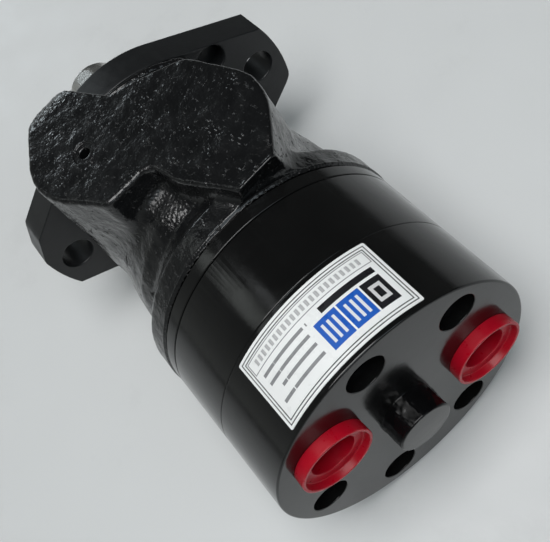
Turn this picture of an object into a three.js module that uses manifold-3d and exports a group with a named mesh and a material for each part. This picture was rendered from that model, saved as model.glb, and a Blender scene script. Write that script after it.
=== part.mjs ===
// Orbital hydraulic motor with rear ports: a two-bolt flange motor with a roller gear set, a spool valve cut in
// the output shaft, and two ports in the end cover.
// Frame in millimetres: X runs along the output shaft towards its free end, Z points to the cast port pad,
// and the origin is on the shaft axis in the plane of the flange's mounting face.
import * as THREE from "three";
import { mergeVertices } from "three/addons/utils/BufferGeometryUtils.js";
import Module from "manifold-3d";

// ---------- driving dimensions ----------
const FLANGE_THICKNESS = 14;
const FLANGE_REACH = 64.6; // radius of the two ear ends
// The straight flanks, repeated half a turn on: the direction of each one's normal, in degrees from the +Y
// ear, and its distance from the shaft axis.
const FLANKS = [{ angle: 60.5, distance: 45.8 }, { angle: 123.5, distance: 46.4 }];
const EAR_FLAT = { angle: 30.4, distance: 59.8 }; // a flat that takes off one corner of the +Y ear
const EAR_ROUNDING = 2.5; // how softly the flank meets the arc on the opposite corner
const HOLE_SPACING = 106.4;
const HOLE_RADIUS = 6.75;
const PILOT_RADIUS = 41.25;
const PILOT_HEIGHT = 6;
const SCREW_CIRCLE = 33.5; // radius of the circle of flange screws
const SCREW_RADIUS = 3;
const SCREW_HEAD = { radius: 5, height: 6 };

const HOUSING_REAR = -97.9;
const PLATE_REAR = -103.5;
const RING_REAR = -131.1;
const COVER_REAR = -160.6;
const RIM_RADIUS = 50;
const RIM_FRONT = -89.5;
const NECK_RADIUS = 43.5; // of the housing's rear half, just before the rim
const WAIST_RADIUS = 41; // of its front half
const BODY_RADIUS = 49.5;
const PAD_HEIGHT = 56;
const PAD_CLEARANCE = 0.7; // height of the port pad's front lip above the flange
const GROOVE_WIDTH = 0.9; // chamfer on the rim where the housing meets the plate

const SHAFT_RADIUS = 12.5;
const SHAFT_TIP = 50.8;
const SPOOL_RADIUS = 17.5;
const SPOOL_FRONT = -14.8;
const SPOOL_REAR = -86;
const SPOOL_GROOVES = [[-70.5, -64.5], [-41.5, -35.5]]; // the two ring grooves that feed the slots
const HOUSING_GROOVES = [[-71, -64], [-42, -35]]; // the housing's grooves round them
const KEY_WIDTH = 8;
const KEY_LENGTH = 32;
const KEY_TOP = 15.5; // height of the key's top above the axis

const POSITIONS = 7; // stations round the body, five with bolts and two with ports
const BOLT_CIRCLE = 38.75; // radius of the circle of stations' bolts
const BOLT_STATIONS = [0, 1, 3, 4, 5];
const PORT_STATIONS = [2, 6];
const COUNTERBORE_RADIUS = 6.75;
const COUNTERBORE_DEPTH = 15;
const BOLT_RADIUS = 4;
const BOLT_HEAD = { radius: 6.4, height: 8 };
const BOLT_END = -82;
const PASSAGE_CIRCLE = 24.5; // radius of the circle of oil passages between the spool and the gear set
const PASSAGE_RADIUS = 2.5;
const PORT_CIRCLE = 31;
const PORT_RADIUS = 10.2;
const PORT_DEPTH = 16;
const STUB_RADIUS = 9.75;
const STUB_HEIGHT = 9.4;
const PLATE_FROM = -158.8; // the nameplate's rear edge
const PLATE_TO = -132.8; // and its front edge
const PLATE_ARC = [-29.6, 31.2]; // degrees it reaches to either side of the port pad's direction

const ROLLER_CIRCLE = 28.6;
const ROLLER_RADIUS = 5.6;
const ECCENTRICITY = 2.6; // distance of the rotor's axis from the shaft's axis
const ROTOR_LOBES = 6;
const GEAR_CLEARANCE = 0.25;
const CARDAN_FRONT = -38; // centre of the cardan's front spline, where its axis meets the shaft's
const CARDAN_REAR = -117; // centre of its rear spline, in the middle of the rotor
const SPLINE_TEETH = 10;
const SPLINE_ROOT = 8.2;
const SPLINE_TIP = 10.4;
const SPLINE_CLEARANCE = 0.6;
const SPLINE_LENGTH = { front: 12, rear: 16 };

const RING_SIDES = 42; // sides of the large turned shapes, a multiple of the seven stations
const BORE_SIDES = 24;
const HOLE_SIDES = 10;
const END_PLAY = 0.1; // gap at each end of a rotor or roller
const PAST = 12; // how far a cutting tool runs past the material
const TURN = 2 * Math.PI;
const deg = THREE.MathUtils.degToRad;

const wasm = await Module();
wasm.setup();

// ---------- materials ----------
function finish(color, roughness, metalness) {
  return new THREE.MeshStandardMaterial({ color, roughness, metalness });
}
const glossBlack = () => finish(0x0d0e0f, 0.18, 0.0);
const castBlack = () => finish(0x101112, 0.35, 0.0);
const satinBlack = () => finish(0x232528, 0.4, 0.0);
const steel = () => finish(0xb4b6b8, 0.3, 1.0);
const darkSteel = () => finish(0x3a3b3d, 0.45, 0.9);
const rubber = () => finish(0x141414, 0.8, 0.0);
const redPlastic = () => finish(0xc8143c, 0.45, 0.0);
const labelFilm = () => finish(0xd4d6d8, 0.35, 0.1);

// ---------- shape helpers ----------
// A closed geometry as a solid that can be joined and cut.
function solid(geometry) {
  const bare = geometry.clone();
  bare.deleteAttribute("normal");
  bare.deleteAttribute("uv");
  const merged = mergeVertices(bare, 1e-4);
  const corners = [];
  const index = merged.index.array;
  for (let i = 0; i < index.length; i += 3) {
    const [a, b, c] = index.slice(i, i + 3);
    if (a !== b && b !== c && c !== a) corners.push(a, b, c);
  }
  const vertProperties = merged.attributes.position.array;
  return new wasm.Manifold(new wasm.Mesh({ numProp: 3, vertProperties, triVerts: new Uint32Array(corners) }));
}

// A solid back as a geometry for a mesh.
function geometryOf(body) {
  const mesh = body.getMesh();
  const geometry = new THREE.BufferGeometry();
  geometry.setAttribute("position", new THREE.BufferAttribute(mesh.vertProperties, 3));
  geometry.setIndex(new THREE.BufferAttribute(mesh.triVerts, 1));
  geometry.computeVertexNormals();
  return geometry;
}

// A shape turned about the X axis, from a closed outline of [x, radius] points.
function turned(outline, sides = RING_SIDES) {
  const points = outline.map(([x, r]) => new THREE.Vector2(r, x));
  const onAxis = outline[0][1] === 0 && outline.at(-1)[1] === 0;
  if (!onAxis) points.push(points[0].clone());
  return solid(new THREE.LatheGeometry(points, sides).rotateZ(-Math.PI / 2));
}

// A plain rod or bore from x0 up to x1, its axis parallel to X at (y, z).
function rod(x0, x1, radius, sides = HOLE_SIDES, y = 0, z = 0) {
  const g = new THREE.CylinderGeometry(radius, radius, x1 - x0, sides).rotateZ(-Math.PI / 2);
  return solid(g.translate((x0 + x1) / 2, y, z));
}

// A flat ring between two radii.
function washer(x0, x1, inner, outer, sides = RING_SIDES) {
  return turned([[x0, inner], [x0, outer], [x1, outer], [x1, inner]], sides);
}

// A box from its lowest to its highest corner.
function box(low, high) {
  const size = high.map((v, i) => v - low[i]);
  const centre = high.map((v, i) => (v + low[i]) / 2);
  return solid(new THREE.BoxGeometry(...size).translate(...centre));
}

// A polygon of [x, y, corner radius] points with its corners rounded by arcs.
function roundedShape(corners, steps = 3) {
  const shape = new THREE.Shape();
  corners.forEach(([x, y, radius], i) => {
    const here = new THREE.Vector2(x, y);
    const back = new THREE.Vector2(...corners.at(i - 1)).sub(here).normalize();
    const on = new THREE.Vector2(...corners[(i + 1) % corners.length]).sub(here).normalize();
    const halfAngle = Math.acos(back.dot(on)) / 2;
    const cut = radius / Math.tan(halfAngle);
    const middle = back.clone().add(on).normalize().multiplyScalar(radius / Math.sin(halfAngle)).add(here);
    const first = here.clone().addScaledVector(back, cut).sub(middle);
    const last = here.clone().addScaledVector(on, cut).sub(middle);
    const sweep = Math.atan2(first.cross(last), first.dot(last));
    for (let k = 0; k <= steps; k++) {
      const point = first.clone().rotateAround(new THREE.Vector2(), (sweep * k) / steps).add(middle);
      if (i === 0 && k === 0) shape.moveTo(point.x, point.y);
      else shape.lineTo(point.x, point.y);
    }
  });
  return shape;
}

// A shape drawn in the YZ plane, made solid from x0 up to x1.
function extrudedAlongX(shape, x0, x1) {
  const g = new THREE.ExtrudeGeometry(shape, { depth: x1 - x0, bevelEnabled: false, curveSegments: 6 });
  const turn = new THREE.Matrix4().makeBasis(
    new THREE.Vector3(0, 1, 0), new THREE.Vector3(0, 0, 1), new THREE.Vector3(1, 0, 0));
  return solid(g.applyMatrix4(turn).translate(x0, 0, 0));
}

// An O-ring of round section lying in a plane across the X axis.
function oRing({ radius, section }) {
  return solid(new THREE.TorusGeometry(radius, section, 5, BORE_SIDES).rotateY(Math.PI / 2));
}

// The angle of a station, counted from the port pad.
const stationAngle = (k) => Math.PI / 2 + (k * TURN) / POSITIONS;
// The [y, z] of a point on a circle about the shaft axis.
const onCircle = (radius, angle) => [radius * Math.cos(angle), radius * Math.sin(angle)];
const allStations = Array.from({ length: POSITIONS }, (_, k) => k);
const cutAll = (body, tools) => tools.reduce((left, tool) => left.subtract(tool), body);

// ---------- the tree of meshes ----------
const motor = new THREE.Group();

function addPart(parent, name, body, material) {
  const mesh = new THREE.Mesh(geometryOf(body), material);
  mesh.name = name;
  parent.add(mesh);
  return mesh;
}

// ---------- front flange and its seals ----------
const SEAL_SEAT = { radius: 21, top: -1 }; // holds the shaft seal and the thrust bearing, up to x = top
const DUST_SEAT = { radius: 17.5, floor: 1 };
const SHAFT_HOLE = 13.5; // radius of the hole round the shaft between the two seats
const O_RING_GROOVE = { inner: 25.2, outer: 28.8, depth: 1.9 };
const SCREW_SEAT = -0.5; // the plane under the flange screws' heads
const RELIEF = { y: -40.5, z: 21.5, radius: 6.5, depth: 6 }; // the rear face's relief beside the port block
const flangeScrewAngles = [45, 135, 225, 315].map(deg);

// The lesser of two numbers, rounded off where they are within a reach of each other.
function softMin(a, b, reach) {
  const share = THREE.MathUtils.clamp(0.5 + (b - a) / (2 * reach), 0, 1);
  return THREE.MathUtils.lerp(b, a, share) - reach * share * (1 - share);
}

// The flange's edge at an angle in degrees from the +Y ear: ear arcs, straight flanks, and middle arcs between.
function flangeRadius(angle) {
  const [first, second] = FLANKS;
  const half = angle % 180;
  const lineRadius = ({ angle: normal, distance }) => distance / Math.cos(deg(half - normal));
  if (half > first.angle && half < second.angle) {
    const share = (half - first.angle) / (second.angle - first.angle);
    return THREE.MathUtils.lerp(first.distance, second.distance, share);
  }
  if (half >= second.angle) return Math.min(FLANGE_REACH, lineRadius(second));
  if (angle >= 180) return softMin(FLANGE_REACH, lineRadius(first), EAR_ROUNDING);
  return Math.min(FLANGE_REACH, lineRadius(first), lineRadius(EAR_FLAT));
}

// The flange's outline in the YZ plane, with a point on each sharp corner.
function flangeShape() {
  const step = 5;
  const corner = FLANKS[1].angle + THREE.MathUtils.radToDeg(Math.acos(FLANKS[1].distance / FLANGE_REACH));
  const angles = [corner, corner + 180, ...FLANKS.flatMap((f) => [f.angle, f.angle + 180])];
  for (let angle = 0; angle < 360; angle += step) angles.push(angle);
  angles.sort((a, b) => a - b);
  return new THREE.Shape(angles.map((a) => new THREE.Vector2(...onCircle(flangeRadius(a), deg(a)))));
}

function mountingFlange() {
  const rear = -FLANGE_THICKNESS;
  const behind = rear - PAST;
  const ahead = PILOT_HEIGHT + PAST;
  const plate = extrudedAlongX(flangeShape(), rear, 0);
  const pilot = rod(rear / 2, PILOT_HEIGHT, PILOT_RADIUS, RING_SIDES);
  const bores = [
    rod(behind, ahead, HOLE_RADIUS, 16, HOLE_SPACING / 2, 0),
    rod(behind, ahead, HOLE_RADIUS, 16, -HOLE_SPACING / 2, 0),
    rod(behind, ahead, SHAFT_HOLE, BORE_SIDES),
    rod(DUST_SEAT.floor, ahead, DUST_SEAT.radius, BORE_SIDES),
    rod(behind, SEAL_SEAT.top, SEAL_SEAT.radius, BORE_SIDES),
    washer(behind, rear + O_RING_GROOVE.depth, O_RING_GROOVE.inner, O_RING_GROOVE.outer, BORE_SIDES),
    rod(behind, rear + RELIEF.depth, RELIEF.radius, HOLE_SIDES, RELIEF.y, RELIEF.z),
  ];
  for (const angle of flangeScrewAngles) {
    const at = onCircle(SCREW_CIRCLE, angle);
    bores.push(rod(behind, ahead, SCREW_RADIUS + 0.3, HOLE_SIDES, ...at));
    bores.push(rod(SCREW_SEAT, ahead, SCREW_HEAD.radius + 0.5, HOLE_SIDES, ...at));
  }
  return cutAll(plate.add(pilot), bores);
}

// A cap screw along X with its head towards +X, its seat at x = 0.
function capScrew(radius, head, length) {
  const socketRadius = 0.55 * head.radius;
  const socketFloor = 0.45 * head.height;
  const outline = [
    [-length, 0], [-length, radius], [0, radius], [0, head.radius], [head.height, head.radius], [head.height, 0]];
  const body = turned(outline, HOLE_SIDES);
  return body.subtract(rod(socketFloor, head.height + 1, socketRadius, 6));
}

// The two seals' sections, as [x, radius]: each one's lip just clears the shaft.
const LIP_RADIUS = SHAFT_RADIUS + 0.2;
const DUST_SEAL = [[1, 13.1], [1, 17.3], [5, 17.3], [5, 14.6], [5.8, LIP_RADIUS], [3.4, 13.6]];
const SHAFT_SEAL = [
  [-8, 15], [-8, 20.8], [-1, 20.8], [-1, 15.5], [-3, LIP_RADIUS], [-5, LIP_RADIUS], [-6, 15]];
const FLANGE_O_RING = { radius: 27, section: 0.9 };
const THRUST_RACE = { front: -8.6, thickness: 2.4, inner: 13, outer: 20.6 };
const THRUST_CAGE = { middle: -12.6, half: 0.8, inner: 13, outer: 19.8 };
const NEEDLE = { count: 10, radius: 1.35, length: 4.6, circle: 16.4 };

function addFrontEnd() {
  const screwLength = 24;
  addPart(motor, "mounting_flange", mountingFlange(), satinBlack());
  flangeScrewAngles.forEach((angle, i) => {
    const body = capScrew(SCREW_RADIUS, SCREW_HEAD, screwLength);
    const screw = addPart(motor, `flange_screw_${i + 1}`, body, darkSteel());
    screw.position.set(SCREW_SEAT, ...onCircle(SCREW_CIRCLE, angle));
  });
  addPart(motor, "dust_seal", turned(DUST_SEAL, BORE_SIDES), rubber());
  addPart(motor, "shaft_seal", turned(SHAFT_SEAL, BORE_SIDES), rubber());
  const sealing = addPart(motor, "flange_o_ring", oRing(FLANGE_O_RING), rubber());
  sealing.position.x = -FLANGE_THICKNESS + O_RING_GROOVE.depth / 2;
  const { front, thickness, inner, outer } = THRUST_RACE;
  addPart(motor, "bearing_race", washer(front - thickness, front, inner, outer, BORE_SIDES), steel());
  addPart(motor, "thrust_bearing", thrustBearing(), steel());
}

// The needle thrust bearing: a flat cage whose needles stand a little proud of it.
function thrustBearing() {
  const { middle, half, inner, outer } = THRUST_CAGE;
  let bearing = washer(middle - half, middle + half, inner, outer, BORE_SIDES);
  for (let i = 0; i < NEEDLE.count; i++) {
    const needle = new THREE.CylinderGeometry(NEEDLE.radius, NEEDLE.radius, NEEDLE.length, 6);
    needle.translate(middle, NEEDLE.circle, 0);
    bearing = bearing.add(solid(needle.rotateX((i * TURN) / NEEDLE.count)));
  }
  return bearing;
}

// ---------- housing ----------
// The port pad's outline seen from above, as [x, y, corner radius]: two lobes set across each other.
const PAD_OUTLINE = [
  [-27.5, -3.2, 5], [-2.2, 9.6, 9], [-2.2, 22.6, 8], [-34.1, 40.4, 25], [-62.8, 21.5, 4], [-63.6, 2.3, 6],
  [-76, 0.5, 20], [HOUSING_REAR, -12.2, 1.5], [HOUSING_REAR, -24.8, 1.5], [-72.2, -43.4, 25], [-40, -30, 12],
  [-28.5, -9, 12],
];
const DRAIN_HOLE = { x: -37.9, y: 15.9, radius: 2.1, depth: 13, spotRadius: 4.5, spotDepth: 0.6 };
const WAIST_REAR = -60; // where the waist starts to widen
const NECK_FRONT = -70; // where it has widened to the neck
const RIM_SLOPE = 4; // length of the cone from the neck up to the rim
const BEARING_POCKET = -22; // floor of the pocket for the thrust bearing
const SCREW_HOLE_END = -28;
const HOUSING_GROOVE_RADIUS = 20.5;
const O_RING_TRACK = { inner: 45.1, outer: 47.5, depth: 1.7 }; // the grooves for the body's O-rings
const BLIND_END = -72; // end of the drilled holes at the two port stations
const PASSAGE_END = -76;

function portBlock() {
  const g = new THREE.ExtrudeGeometry(roundedShape(PAD_OUTLINE), { depth: PAD_HEIGHT, bevelEnabled: false });
  const top = FLANKS[1].distance + PAD_CLEARANCE;
  const overFlange = box([-FLANGE_THICKNESS, -RIM_RADIUS, -PAST], [PAST, RIM_RADIUS, top]);
  return solid(g).subtract(overFlange);
}

function housing() {
  const behind = HOUSING_REAR - PAST;
  const neck = turned([
    [HOUSING_REAR, 0], [HOUSING_REAR, RIM_RADIUS - GROOVE_WIDTH], [HOUSING_REAR + GROOVE_WIDTH, RIM_RADIUS],
    [RIM_FRONT, RIM_RADIUS], [RIM_FRONT + RIM_SLOPE, NECK_RADIUS], [NECK_FRONT, NECK_RADIUS],
    [WAIST_REAR, WAIST_RADIUS], [-FLANGE_THICKNESS, WAIST_RADIUS], [-FLANGE_THICKNESS, 0]]);
  const { inner, outer, depth } = O_RING_TRACK;
  const bores = [
    rod(behind, 0, SPOOL_RADIUS + 0.3, BORE_SIDES),
    rod(BEARING_POCKET, 0, SEAL_SEAT.radius, BORE_SIDES),
    ...HOUSING_GROOVES.map(([from, to]) => rod(from, to, HOUSING_GROOVE_RADIUS, BORE_SIDES)),
    washer(behind, HOUSING_REAR + depth, inner, outer, BORE_SIDES),
    drainHole(),
  ];
  for (const k of allStations) {
    const end = BOLT_STATIONS.includes(k) ? BOLT_END + 2 : BLIND_END;
    bores.push(rod(behind, end, BOLT_RADIUS + 0.2, HOLE_SIDES, ...onCircle(BOLT_CIRCLE, stationAngle(k))));
    bores.push(rod(behind, PASSAGE_END, PASSAGE_RADIUS, 6, ...onCircle(PASSAGE_CIRCLE, stationAngle(k))));
  }
  for (const angle of flangeScrewAngles) {
    bores.push(rod(SCREW_HOLE_END, 0, SCREW_RADIUS + 0.15, HOLE_SIDES, ...onCircle(SCREW_CIRCLE, angle)));
  }
  return cutAll(neck.add(portBlock()), bores);
}

// The small threaded hole in the pad, with the spot face round its mouth.
function drainHole() {
  const { x, y, radius, depth, spotRadius, spotDepth } = DRAIN_HOLE;
  const upright = (r, length, sides) => {
    const g = new THREE.CylinderGeometry(r, r, length + 1, sides).rotateX(Math.PI / 2);
    return solid(g.translate(x, y, PAD_HEIGHT + (1 - length) / 2));
  };
  return upright(radius, depth, 12).add(upright(spotRadius, spotDepth, 16));
}

// ---------- output shaft with its spool valve, and the key ----------
// A straight spline prism: its teeth are cut with one point on each corner of a tooth.
function splinePrism(x0, x1, root, tip, toothShare) {
  const points = [];
  for (let i = 0; i < SPLINE_TEETH; i++) {
    const centre = (i * TURN) / SPLINE_TEETH;
    const half = (toothShare * TURN) / SPLINE_TEETH / 2;
    const flank = half * 1.35;
    points.push(onCircle(root, centre - flank), onCircle(tip, centre - half * 0.8));
    points.push(onCircle(tip, centre + half * 0.8), onCircle(root, centre + flank));
  }
  return extrudedAlongX(new THREE.Shape(points.map((p) => new THREE.Vector2(...p))), x0, x1);
}

const SHAFT_CHAMFER = 1.5;
const SPOOL_LAND = 15.2; // radius at the bottom of the spool's ring grooves
const SPOOL_BORE = { radius: 13.2, end: -46 };
const SPOOL_SPLINE = [-50, -30];
const END_HOLE = { radius: 3.3, depth: 14 };
const SLOTS = { count: 12, width: 3, depth: 2, spans: [[-68, -44], [-62, -36]] }; // they take turns at two spans
const SOCKET_TOOTH_SHARE = 0.62; // share of the pitch that a hollow spline's grooves take
const TOOTH_SHARE = 0.42; // and that the teeth in them take
const KEY_INSET = 6; // from the shaft's tip to the keyway
const KEY_DEPTH = 4;
const KEY_CLEARANCE = 0.1;

function splineSocket(x0, x1) {
  const grown = [SPLINE_ROOT, SPLINE_TIP].map((radius) => radius + SPLINE_CLEARANCE);
  return splinePrism(x0, x1, ...grown, SOCKET_TOOTH_SHARE);
}

function outputShaft() {
  const grooves = SPOOL_GROOVES.flatMap(([from, to]) => [
    [from, SPOOL_RADIUS], [from, SPOOL_LAND], [to, SPOOL_LAND], [to, SPOOL_RADIUS]]);
  const body = turned([
    [SPOOL_REAR, 0], [SPOOL_REAR, SPOOL_RADIUS], ...grooves, [SPOOL_FRONT, SPOOL_RADIUS],
    [SPOOL_FRONT, SHAFT_RADIUS], [SHAFT_TIP - SHAFT_CHAMFER, SHAFT_RADIUS],
    [SHAFT_TIP, SHAFT_RADIUS - SHAFT_CHAMFER], [SHAFT_TIP, 0]], BORE_SIDES);
  const tools = [
    rod(SPOOL_REAR - PAST, SPOOL_BORE.end, SPOOL_BORE.radius, BORE_SIDES),
    splineSocket(...SPOOL_SPLINE),
    keyCutter(0),
    rod(SHAFT_TIP - END_HOLE.depth, SHAFT_TIP + PAST, END_HOLE.radius, 12),
  ];
  const { count, width, depth, spans } = SLOTS;
  for (let i = 0; i < count; i++) {
    const [from, to] = spans[i % spans.length];
    const slot = box([from, -width / 2, SPOOL_RADIUS - depth], [to, width / 2, SPOOL_RADIUS + depth]);
    tools.push(slot.rotate([(i * 360) / count, 0, 0]));
  }
  return cutAll(body, tools);
}

// The key's space, with round ends, grown by a clearance.
function keyCutter(grow) {
  const half = KEY_WIDTH / 2 + grow;
  const to = SHAFT_TIP - KEY_INSET - KEY_WIDTH / 2;
  const from = to - KEY_LENGTH + KEY_WIDTH;
  const shape = new THREE.Shape();
  shape.moveTo(from, -half);
  shape.lineTo(to, -half);
  shape.absarc(to, 0, half, -Math.PI / 2, Math.PI / 2, false);
  shape.lineTo(from, half);
  shape.absarc(from, 0, half, Math.PI / 2, (3 * Math.PI) / 2, false);
  const options = { depth: KEY_DEPTH + PAST, bevelEnabled: false, curveSegments: 6 };
  return solid(new THREE.ExtrudeGeometry(shape, options).translate(0, 0, SHAFT_RADIUS - KEY_DEPTH));
}

function shaftKey() {
  const above = box([0, -KEY_WIDTH, KEY_TOP], [SHAFT_TIP, KEY_WIDTH, KEY_TOP + 2 * PAST]);
  return keyCutter(-KEY_CLEARANCE).subtract(above).translate(0, 0, KEY_CLEARANCE);
}

// ---------- gear set ----------
const BOLT_CLEARANCE = 0.3;
const ROLLER_CLEARANCE = 0.2;
const PLATE_BORE = 14.5; // radius of the plate's middle hole, which the cardan passes through
const rollerAngle = (k) => stationAngle(k + 0.5);

// The clearance hole for the bolt of a station, or for the empty position at a port station.
function boltHole(x0, x1, k) {
  return rod(x0, x1, BOLT_RADIUS + BOLT_CLEARANCE, HOLE_SIDES, ...onCircle(BOLT_CIRCLE, stationAngle(k)));
}

function spacerPlate() {
  const [behind, ahead] = [PLATE_REAR - PAST, HOUSING_REAR + PAST];
  const body = washer(PLATE_REAR, HOUSING_REAR, PLATE_BORE, BODY_RADIUS);
  return cutAll(body, allStations.flatMap((k) => [
    boltHole(behind, ahead, k),
    rod(behind, ahead, PASSAGE_RADIUS, 6, ...onCircle(PASSAGE_CIRCLE, stationAngle(k))),
  ]));
}

function gearRing() {
  const [behind, ahead] = [RING_REAR - PAST, PLATE_REAR + PAST];
  const body = washer(RING_REAR, PLATE_REAR, ROLLER_CIRCLE - ROLLER_CLEARANCE, BODY_RADIUS);
  const tools = allStations.flatMap((k) => [
    boltHole(behind, ahead, k),
    rod(behind, ahead, ROLLER_RADIUS + ROLLER_CLEARANCE, 16, ...onCircle(ROLLER_CIRCLE, rollerAngle(k))),
  ]);
  const { inner, outer, depth } = O_RING_TRACK;
  for (const face of [PLATE_REAR, RING_REAR]) {
    tools.push(washer(face - depth, face + depth, inner, outer, BORE_SIDES));
  }
  return cutAll(body, tools);
}

// The star rotor's outline: the path of a roller's centre in the rotor's own frame, moved in by its radius.
function rotor() {
  const sides = 72;
  const inset = ROLLER_RADIUS + GEAR_CLEARANCE;
  const points = [];
  for (let i = 0; i < sides; i++) {
    const a = (i * TURN) / sides;
    const fast = (ROTOR_LOBES + 1) * a;
    const centre = new THREE.Vector2(
      ROLLER_CIRCLE * Math.cos(a) - ECCENTRICITY * Math.cos(fast),
      ROLLER_CIRCLE * Math.sin(a) - ECCENTRICITY * Math.sin(fast));
    const along = new THREE.Vector2(
      -ROLLER_CIRCLE * Math.sin(a) + (ROTOR_LOBES + 1) * ECCENTRICITY * Math.sin(fast),
      ROLLER_CIRCLE * Math.cos(a) - (ROTOR_LOBES + 1) * ECCENTRICITY * Math.cos(fast)).normalize();
    points.push(centre.add(new THREE.Vector2(-along.y, along.x).multiplyScalar(inset)));
  }
  const star = extrudedAlongX(new THREE.Shape(points), RING_REAR + END_PLAY, PLATE_REAR - END_PLAY);
  return star.subtract(splineSocket(RING_REAR - PAST, PLATE_REAR + PAST));
}

// The cardan shaft along X, its front spline's centre at the origin and its body running to -X.
function cardanShaft() {
  const span = CARDAN_FRONT - CARDAN_REAR;
  const waist = 7.2;
  const spline = (middle, length) =>
    splinePrism(middle - length / 2, middle + length / 2, SPLINE_ROOT, SPLINE_TIP, TOOTH_SHARE);
  return turned([[-span, 0], [-span, waist], [0, waist], [0, 0]], 20)
    .add(spline(0, SPLINE_LENGTH.front))
    .add(spline(-span, SPLINE_LENGTH.rear));
}

const DRIVE_SPACER = { gap: 0.3, thickness: 4, inner: 2, outer: 7.6 }; // the disc between cardan and cover
const BODY_O_RING = { radius: 46.3, section: 0.8 };

function addGearSet() {
  addPart(motor, "spacer_plate", spacerPlate(), glossBlack());
  addPart(motor, "gear_ring", gearRing(), glossBlack());
  allStations.forEach((k) => {
    const body = rod(RING_REAR + END_PLAY, PLATE_REAR - END_PLAY, ROLLER_RADIUS, 16);
    const roller = addPart(motor, `roller_${k + 1}`, body, steel());
    roller.position.set(0, ...onCircle(ROLLER_CIRCLE, rollerAngle(k)));
  });
  const orbit = new THREE.Group(); // everything whose axis circles round the shaft's axis
  orbit.position.set(0, 0, ECCENTRICITY);
  motor.add(orbit);
  addPart(orbit, "rotor", rotor(), steel());
  const { gap, thickness, inner, outer } = DRIVE_SPACER;
  const spacerRear = RING_REAR + gap;
  addPart(orbit, "drive_spacer", washer(spacerRear, spacerRear + thickness, inner, outer, HOLE_SIDES), steel());
  const cardan = addPart(motor, "cardan_shaft", cardanShaft(), darkSteel());
  cardan.position.set(CARDAN_FRONT, 0, 0);
  cardan.rotation.y = Math.atan2(ECCENTRICITY, CARDAN_FRONT - CARDAN_REAR);
  const inset = O_RING_TRACK.depth / 2;
  [HOUSING_REAR + inset, PLATE_REAR - inset, RING_REAR + inset].forEach((x, i) => {
    const sealing = addPart(motor, `body_o_ring_${i + 1}`, oRing(BODY_O_RING), rubber());
    sealing.position.x = x;
  });
}

// ---------- end cover, its bolts, plugs and label ----------
const COVER_EDGE = 0.6; // chamfer round the end face
const BLIND_BOLT_HOLE = -150; // end of the cover's empty bolt holes, which the port wells leave no room for
const BOLT_WASHER = { thickness: 1.2, inner: 4.2, outer: 6.5 };
const COVER_SEAT = COVER_REAR + COUNTERBORE_DEPTH; // the counterbores' floors

function endCover() {
  const behind = COVER_REAR - STUB_HEIGHT - PAST;
  const ahead = RING_REAR + PAST;
  const body = turned([
    [COVER_REAR - STUB_HEIGHT, 0], [COVER_REAR - STUB_HEIGHT, STUB_RADIUS], [COVER_REAR, STUB_RADIUS],
    [COVER_REAR, BODY_RADIUS - COVER_EDGE], [COVER_REAR + COVER_EDGE, BODY_RADIUS], [RING_REAR, BODY_RADIUS],
    [RING_REAR, 0]]);
  const tools = BOLT_STATIONS.flatMap((k) => [
    boltHole(behind, ahead, k),
    rod(behind, COVER_SEAT, COUNTERBORE_RADIUS, 12, ...onCircle(BOLT_CIRCLE, stationAngle(k))),
  ]);
  for (const k of PORT_STATIONS) {
    const well = onCircle(PORT_CIRCLE, stationAngle(k));
    tools.push(rod(behind, COVER_REAR + PORT_DEPTH, PORT_RADIUS, 16, ...well));
    tools.push(boltHole(BLIND_BOLT_HOLE, ahead, k));
  }
  return cutAll(body, tools);
}

// The port plugs' section, as [x from the end face, radius]: a hollow flanged cap whose skirt sits in the port.
const PLUG_OUTLINE = [
  [9.5, 0], [9.5, 7.4], [-2, 7.8], [-2, 11.6], [-4.5, 11.9], [-4.5, 12.9], [0, 12.9], [0, 9.9], [11, 9.3], [11, 0]];

function nameplate() {
  const steps = 8;
  const [from, to] = PLATE_ARC.map(deg);
  const halfStep = (to - from) / steps / 2;
  const inner = BODY_RADIUS / Math.cos(halfStep) + 0.02; // its flats just clear the cover
  const outer = inner + 0.2;
  const arc = (radius) => Array.from({ length: steps + 1 }, (_, i) =>
    new THREE.Vector2(...onCircle(radius, Math.PI / 2 + from + 2 * halfStep * i)));
  return extrudedAlongX(new THREE.Shape([...arc(outer), ...arc(inner).reverse()]), PLATE_FROM, PLATE_TO);
}

function addRearEnd() {
  const { thickness, inner, outer } = BOLT_WASHER;
  const boltLength = BOLT_END - COVER_SEAT + thickness;
  addPart(motor, "end_cover", endCover(), glossBlack());
  BOLT_STATIONS.forEach((k, i) => {
    const at = onCircle(BOLT_CIRCLE, stationAngle(k));
    const bolt = addPart(motor, `cover_bolt_${i + 1}`, capScrew(BOLT_RADIUS, BOLT_HEAD, boltLength), darkSteel());
    bolt.position.set(COVER_SEAT - thickness, ...at);
    bolt.rotation.y = Math.PI;
    const ring = addPart(motor, `bolt_washer_${i + 1}`, washer(-thickness, 0, inner, outer, HOLE_SIDES), steel());
    ring.position.set(COVER_SEAT, ...at);
  });
  PORT_STATIONS.forEach((k, i) => {
    const plug = addPart(motor, `port_plug_${"ab"[i]}`, turned(PLUG_OUTLINE, 16), redPlastic());
    plug.position.set(COVER_REAR, ...onCircle(PORT_CIRCLE, stationAngle(k)));
  });
  addPart(motor, "nameplate", nameplate(), labelFilm());
}

addFrontEnd();
addPart(motor, "housing", housing(), castBlack());
addPart(motor, "output_shaft", outputShaft(), steel());
addPart(motor, "shaft_key", shaftKey(), steel());
addGearSet();
addRearEnd();

export default motor;
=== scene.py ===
"""The looks of the hydraulic motor: fine surfaces, materials, floor, light and camera round its CAD frame.
Lengths are in millimetres up to the moment a mesh is made, and in metres in Blender. X runs along the output
shaft towards its free end and Z points to the port pad. The origin is where the shaft axis meets the mounting
face."""

import math

import bmesh
import bpy
import numpy as np
from mathutils import Matrix, Vector, noise


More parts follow.
